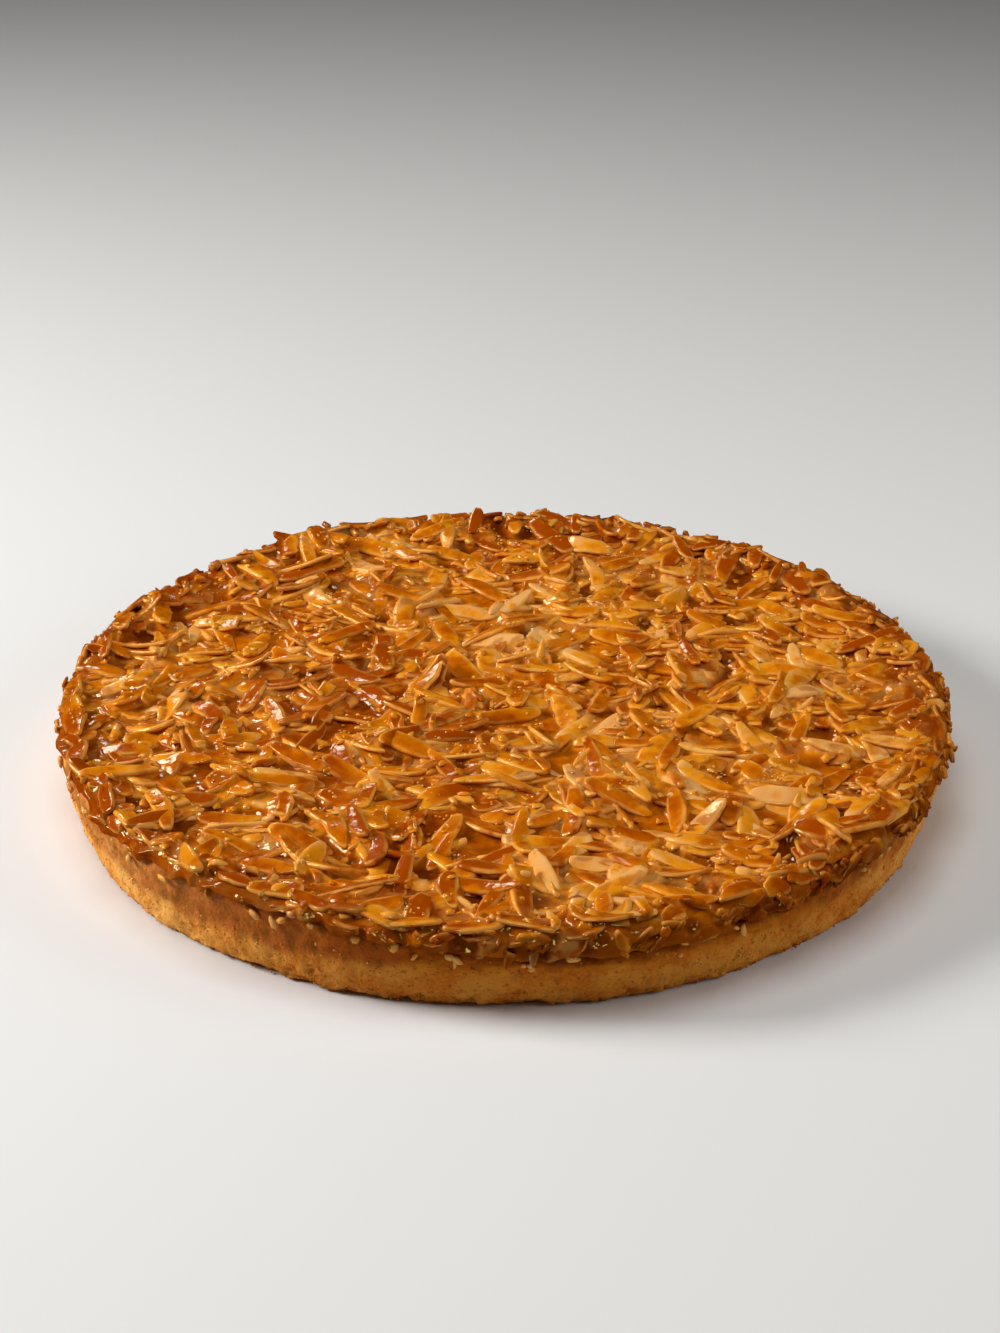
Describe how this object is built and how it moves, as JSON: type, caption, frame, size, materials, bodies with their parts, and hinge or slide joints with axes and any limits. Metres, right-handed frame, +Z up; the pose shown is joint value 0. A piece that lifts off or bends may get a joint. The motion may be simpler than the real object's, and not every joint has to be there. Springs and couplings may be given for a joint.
{
  "type": "almond tart",
  "caption": "Round shallow tart: a flared shortcrust base under a glossy caramel layer set with flaked almonds, with an uneven rim and a flat underside.",
  "frame": {"origin": "centre of the flat underside of the pastry", "axes": "+Z up through the tart, +X to the right and +Y away from the viewer in the picture's view"},
  "size_m": [0.2693, 0.2679, 0.0301],
  "materials": {
    "pastry": "baked shortcrust, matt and sandy, pale gold and browner at the foot and the upper edge",
    "almond_caramel": "amber caramel glaze over flaked almonds, glossy and uneven"
  },
  "bodies": {
    "root": {"pastry_base": "pastry", "almond_topping": "almond_caramel"}
  },
  "joints": []
}
